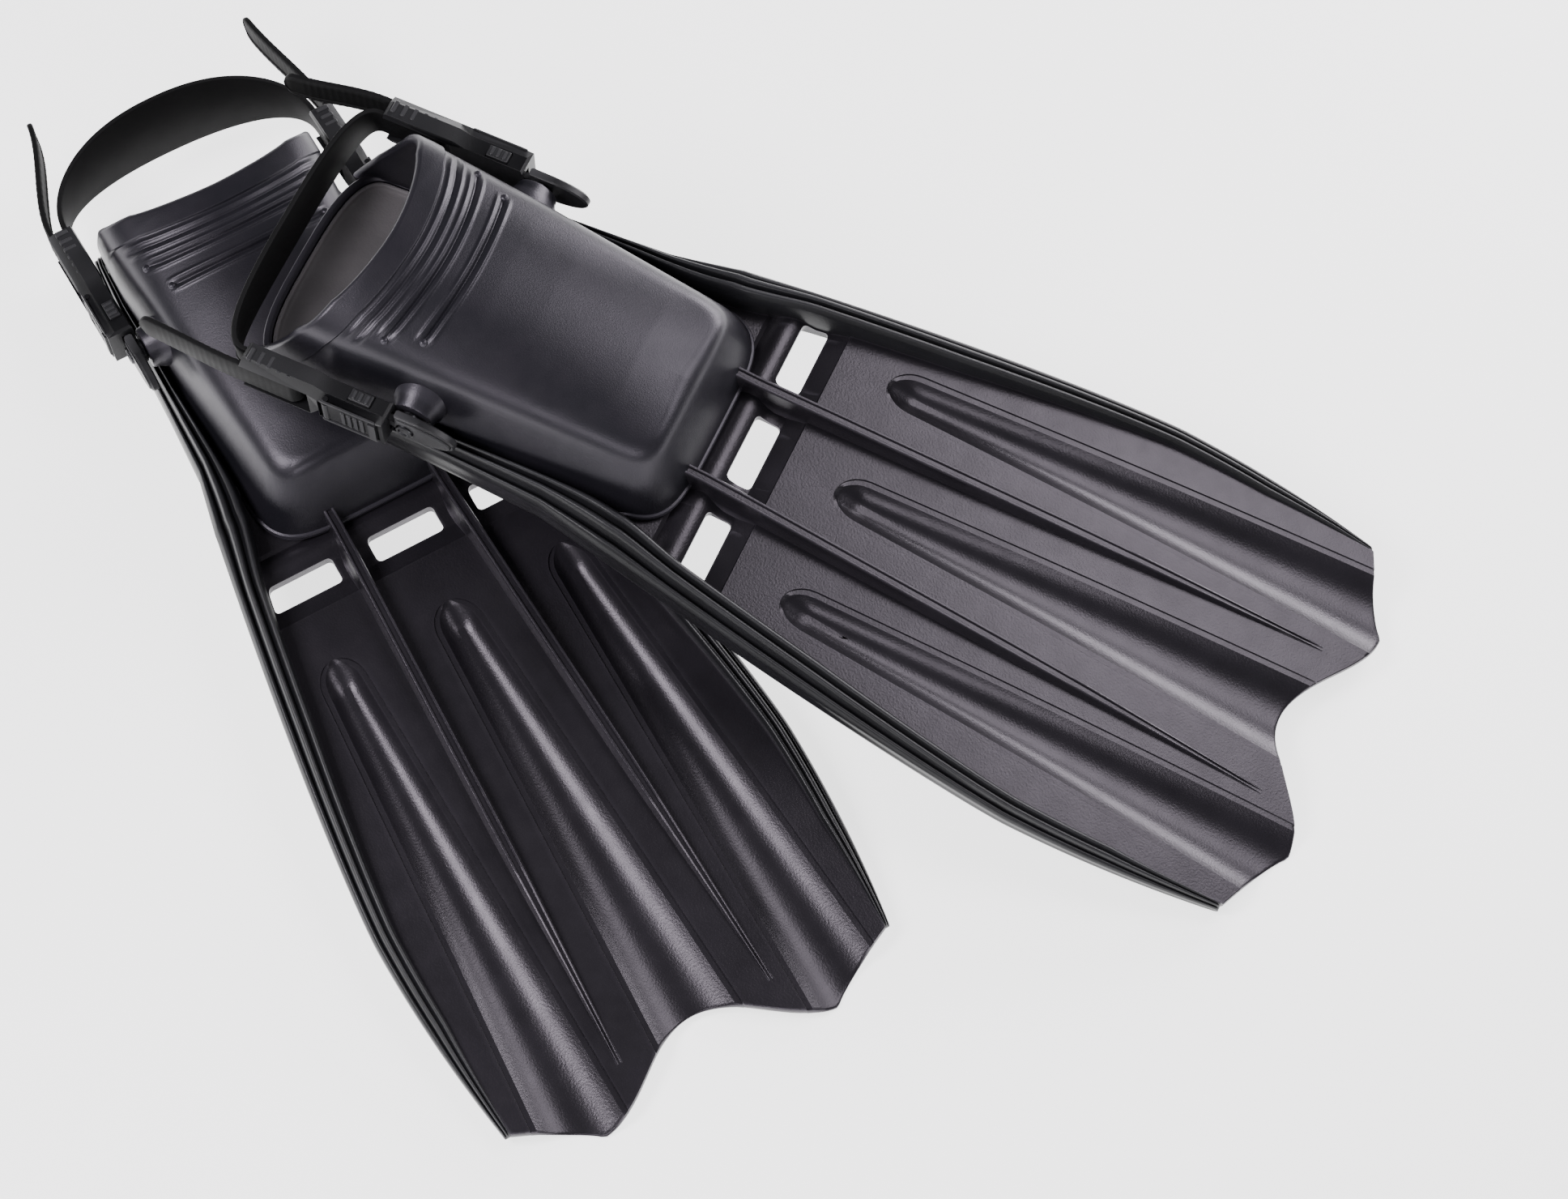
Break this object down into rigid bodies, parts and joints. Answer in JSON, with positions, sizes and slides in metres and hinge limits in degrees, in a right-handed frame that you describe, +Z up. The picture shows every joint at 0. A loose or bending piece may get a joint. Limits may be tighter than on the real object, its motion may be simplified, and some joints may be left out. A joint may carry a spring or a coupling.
{
  "type": "swim fins",
  "caption": "Pair of crossed adjustable open-heel swim fins: ribbed blades with root vents, closed-toe foot pockets, side rails, and heel straps on swivelling quick-release buckles.",
  "frame": {"origin": "on the floor, under the middle of the space the pair takes up", "axes": "+Z up; +X along the lower fin from its heel to its blade tip; the upper fin points 35 degrees to the left of that"},
  "size_m": [0.711, 0.5474, 0.1855],
  "materials": {
    "blade_plastic": "black moulded plastic with a faint sheen",
    "pocket_rubber": "black satin rubber",
    "rail_rubber": "black satin rubber",
    "strap_rubber": "dull black rubber",
    "buckle_plastic": "black semi-gloss plastic",
    "pin_steel": "plain stainless steel"
  },
  "bodies": {
    "lower_fin": {"lower_blade": "blade_plastic", "lower_foot_pocket": "pocket_rubber", "lower_left_rail": "rail_rubber", "lower_left_pivot_pin": "pin_steel", "lower_right_rail": "rail_rubber", "lower_right_pivot_pin": "pin_steel"},
    "lower_swivels": {"lower_left_swivel_insert": "buckle_plastic", "lower_right_swivel_insert": "buckle_plastic"},
    "lower_strap": {"lower_heel_strap": "strap_rubber", "lower_left_buckle_housing": "buckle_plastic", "lower_left_lever_pin": "pin_steel", "lower_left_strap_bar": "pin_steel", "lower_right_buckle_housing": "buckle_plastic", "lower_right_lever_pin": "pin_steel", "lower_right_strap_bar": "pin_steel"},
    "lower_left_upper_button": {"lower_left_upper_button": "buckle_plastic"},
    "lower_left_lower_button": {"lower_left_lower_button": "buckle_plastic"},
    "lower_left_locking_lever": {"lower_left_locking_lever": "buckle_plastic"},
    "lower_right_upper_button": {"lower_right_upper_button": "buckle_plastic"},
    "lower_right_lower_button": {"lower_right_lower_button": "buckle_plastic"},
    "lower_right_locking_lever": {"lower_right_locking_lever": "buckle_plastic"},
    "upper_fin": {"upper_blade": "blade_plastic", "upper_foot_pocket": "pocket_rubber", "upper_left_rail": "rail_rubber", "upper_left_pivot_pin": "pin_steel", "upper_right_rail": "rail_rubber", "upper_right_pivot_pin": "pin_steel"},
    "upper_swivels": {"upper_left_swivel_insert": "buckle_plastic", "upper_right_swivel_insert": "buckle_plastic"},
    "upper_strap": {"upper_heel_strap": "strap_rubber", "upper_left_buckle_housing": "buckle_plastic", "upper_left_lever_pin": "pin_steel", "upper_left_strap_bar": "pin_steel", "upper_right_buckle_housing": "buckle_plastic", "upper_right_lever_pin": "pin_steel", "upper_right_strap_bar": "pin_steel"},
    "upper_left_upper_button": {"upper_left_upper_button": "buckle_plastic"},
    "upper_left_lower_button": {"upper_left_lower_button": "buckle_plastic"},
    "upper_left_locking_lever": {"upper_left_locking_lever": "buckle_plastic"},
    "upper_right_upper_button": {"upper_right_upper_button": "buckle_plastic"},
    "upper_right_lower_button": {"upper_right_lower_button": "buckle_plastic"},
    "upper_right_locking_lever": {"upper_right_locking_lever": "buckle_plastic"}
  },
  "joints": [
    {"name": "lower_strap_swing", "type": "hinge", "parent": "lower_fin", "child": "lower_swivels", "pos_m": [-0.18643, -0.1557, 0.05661], "axis": [0, 1, 0], "range_deg": [0, 45]},
    {"name": "lower_buckle_release", "type": "slide", "parent": "lower_swivels", "child": "lower_strap", "axis": [-0.9955, 0, -0.0945], "range_m": [0, 0.03]},
    {"name": "lower_left_upper_press", "type": "slide", "parent": "lower_strap", "child": "lower_left_upper_button", "axis": [0.0945, 0, -0.9955], "range_m": [0, 0.002], "stiffness_N_per_m": 1000},
    {"name": "lower_left_lower_press", "type": "slide", "parent": "lower_strap", "child": "lower_left_lower_button", "axis": [-0.0945, 0, 0.9955], "range_m": [0, 0.002], "stiffness_N_per_m": 1000},
    {"name": "lower_left_lever_lift", "type": "hinge", "parent": "lower_strap", "child": "lower_left_locking_lever", "pos_m": [-0.22675, -0.0721, 0.05279], "axis": [-0.0945, 0, 0.9955], "range_deg": [0, 60]},
    {"name": "lower_right_upper_press", "type": "slide", "parent": "lower_strap", "child": "lower_right_upper_button", "axis": [0.0945, 0, -0.9955], "range_m": [0, 0.002], "stiffness_N_per_m": 1000},
    {"name": "lower_right_lower_press", "type": "slide", "parent": "lower_strap", "child": "lower_right_lower_button", "axis": [-0.0945, 0, 0.9955], "range_m": [0, 0.002], "stiffness_N_per_m": 1000},
    {"name": "lower_right_lever_lift", "type": "hinge", "parent": "lower_strap", "child": "lower_right_locking_lever", "pos_m": [-0.22675, -0.2393, 0.05279], "axis": [0.0945, 0, -0.9955], "range_deg": [0, 60]},
    {"name": "upper_fin_lift", "type": "slide", "parent": "lower_fin", "child": "upper_fin", "axis": [0, 0, 1], "range_m": [0, 0.25]},
    {"name": "upper_strap_swing", "type": "hinge", "parent": "upper_fin", "child": "upper_swivels", "pos_m": [-0.07206, -0.07962, 0.13567], "axis": [-0.5743, 0.8169, 0.0529], "range_deg": [0, 50]},
    {"name": "upper_buckle_release", "type": "slide", "parent": "upper_swivels", "child": "upper_strap", "axis": [-0.8145, -0.5767, 0.0638], "range_m": [0, 0.03]},
    {"name": "upper_left_upper_press", "type": "slide", "parent": "upper_strap", "child": "upper_left_upper_button", "axis": [-0.0827, 0.0064, -0.9966], "range_m": [0, 0.002], "stiffness_N_per_m": 1000},
    {"name": "upper_left_lower_press", "type": "slide", "parent": "upper_strap", "child": "upper_left_lower_button", "axis": [0.0827, -0.0064, 0.9966], "range_m": [0, 0.002], "stiffness_N_per_m": 1000},
    {"name": "upper_left_lever_lift", "type": "hinge", "parent": "upper_strap", "child": "upper_left_locking_lever", "pos_m": [-0.15306, -0.03468, 0.14268], "axis": [0.0827, -0.0064, 0.9966], "range_deg": [0, 60]},
    {"name": "upper_right_upper_press", "type": "slide", "parent": "upper_strap", "child": "upper_right_upper_button", "axis": [-0.0827, 0.0064, -0.9966], "range_m": [0, 0.002], "stiffness_N_per_m": 1000},
    {"name": "upper_right_lower_press", "type": "slide", "parent": "upper_strap", "child": "upper_right_lower_button", "axis": [0.0827, -0.0064, 0.9966], "range_m": [0, 0.002], "stiffness_N_per_m": 1000},
    {"name": "upper_right_lever_lift", "type": "hinge", "parent": "upper_strap", "child": "upper_right_locking_lever", "pos_m": [-0.05704, -0.17127, 0.13383], "axis": [-0.0827, 0.0064, -0.9966], "range_deg": [0, 60]}
  ]
}
